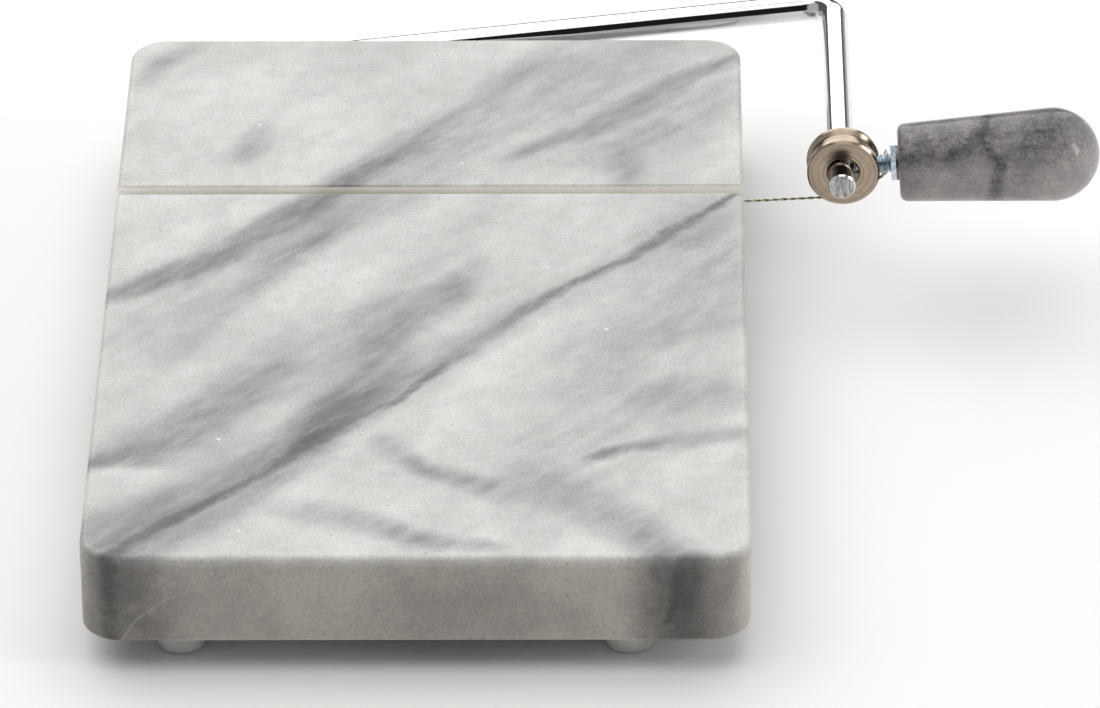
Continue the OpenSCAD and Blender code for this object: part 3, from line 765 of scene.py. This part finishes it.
NUT_EDGE = 0.14 * MM
nut_edges = NODES["jam_nut"].modifiers.new("edges", "BEVEL")
nut_edges.width = NUT_EDGE
nut_edges.segments = 2
nut_edges.limit_method = "ANGLE"


# ---------------------------------------------------------------- floor and light
FLOOR_HALF = 8.0
FLOOR_DROP = 0.00002               # keeps the floor clear of the feet's undersides


def floor():
    g = Graph("pale_floor")
    where = g.node("TexCoord").outputs["Object"]
    shade = g.noise(where, 3.0, 2, 0.5)
    near = g.mix(shade, (0.850, 0.846, 0.836), (0.880, 0.876, 0.866))
    # painted light: the floor is painted paler behind the object than around and in front of it
    colour = g.mix(g.fade(g.separate(where)[1], -0.10, 0.25), near, (0.94, 0.94, 0.94))
    shader = g.node("BsdfPrincipled", {"Base Color": colour, "Roughness": 0.7, "Specular IOR Level": 0.2})
    # far away it fades into the pale room, and from below it is clear, so that the underside can be seen
    clear = g.node("BsdfTransparent")
    far = g.fade(g.vector("LENGTH", where), 0.9, 1.8)
    both = g.node("MixShader", {0: g.math("MAXIMUM", far, g.node("NewGeometry").outputs["Backfacing"])})
    g.tree.links.new(shader.outputs[0], both.inputs[1])
    g.tree.links.new(clear.outputs[0], both.inputs[2])
    out = g.node("OutputMaterial")
    g.tree.links.new(both.outputs[0], out.inputs["Surface"])
    mesh = bpy.data.meshes.new("floor")
    corners = [(x * FLOOR_HALF, y * FLOOR_HALF, 0) for x, y in ((-1, -1), (1, -1), (1, 1), (-1, 1))]
    mesh.from_pydata(corners, [], [(0, 1, 2, 3)])
    mesh.materials.append(g.material)
    made = bpy.data.objects.new("floor", mesh)
    made.location = (0, 0, -FLOOR_DROP)
    bpy.context.scene.collection.objects.link(made)


def light(name, place, target, size, power, height=None, mirrored=False):
    """A soft rectangular light, which polished surfaces show only if it is mirrored."""
    data = bpy.data.lights.new(name, "AREA")
    data.shape = "RECTANGLE"
    data.size, data.size_y = size, height or size
    data.energy = power
    made = bpy.data.objects.new(name, data)
    bpy.context.scene.collection.objects.link(made)
    made.location = place
    made.rotation_euler = (Vector(target) - Vector(place)).to_track_quat("-Z", "Y").to_euler()
    made.visible_glossy = mirrored


ON_CAMERA = 0.95                   # brightness of the background
PANEL_BEHIND, PANEL_AHEAD = 2.2, 1.5


def studio():
    world = bpy.data.worlds.new("studio")
    bpy.context.scene.world = world
    world.use_nodes = True
    g = Graph("", world.node_tree)
    x, y, z = g.separate(g.node("TexCoord").outputs["Generated"])
    # what lights the object: a soft pale room, darker towards the front
    sky = g.fade(z, 0.02, 0.60, 0.16, 0.55)
    sky = g.math("MULTIPLY", sky, g.fade(y, -0.65, 0.2, 0.47, 1.0))
    # what the polished metal shows: a tall bright panel behind, a black seam overhead, another panel
    # high in front, black lower down and grey at the horizon
    panel = g.math("MULTIPLY", g.fade(x, -0.50, -0.46, 0.0, 1.0), g.fade(x, 0.345, 0.375, 1.0, 0.0))
    # its lower edge is higher in the middle
    aside = g.math("ABSOLUTE", x)
    arched = g.math("ADD", z, g.math("MINIMUM", aside, 0.26))
    panel = g.math("MULTIPLY", panel, g.fade(arched, 0.40, 0.46))
    behind = g.math("MAXIMUM", g.math("MULTIPLY", panel, PANEL_BEHIND), g.fade(x, 0.42, 0.52, 0.10, 0.75))
    low_ahead = g.fade(z, 0.03, 0.10, 0.45, 0.012)
    ahead = g.math("MAXIMUM", low_ahead, g.fade(aside, 0.35, 0.60, 0.0, 0.45))
    high = g.math("MAXIMUM", g.fade(y, -0.14, -0.10, 1.0, 0.0), g.fade(aside, 0.10, 0.18))
    high = g.math("MULTIPLY", g.fade(z, 0.78, 0.84), high)
    ahead = g.math("MULTIPLY_ADD", high, PANEL_AHEAD, ahead)
    shown = g.node("Mix", {0: g.fade(y, 0.12, 0.19), 2: ahead, 3: behind}, data_type="FLOAT").outputs[0]
    ray = g.node("LightPath")
    sky = g.node("Mix", {0: ray.outputs["Is Glossy Ray"], 2: sky, 3: shown}, data_type="FLOAT").outputs[0]
    sky = g.math("MAXIMUM", sky, g.math("MULTIPLY", ray.outputs["Is Camera Ray"], ON_CAMERA))
    back = g.node("Background", {"Color": (1.0, 1.0, 1.0), "Strength": sky})
    out = g.node("OutputWorld")
    g.tree.links.new(back.outputs[0], out.inputs["Surface"])
    light("key", (-0.32, 0.16, 1.49), (0, 0, 0), 2.5, 26)
    light("back", (0.02, 1.25, 1.00), (0, 0, 0), 1.5, 2.6, height=1.1)
    light("side", (1.15, -0.45, 0.58), (0.08, 0, 0.03), 0.30, 4.0, height=0.60, mirrored=True)


floor()
studio()
bpy.context.scene.view_settings.view_transform = "Standard"
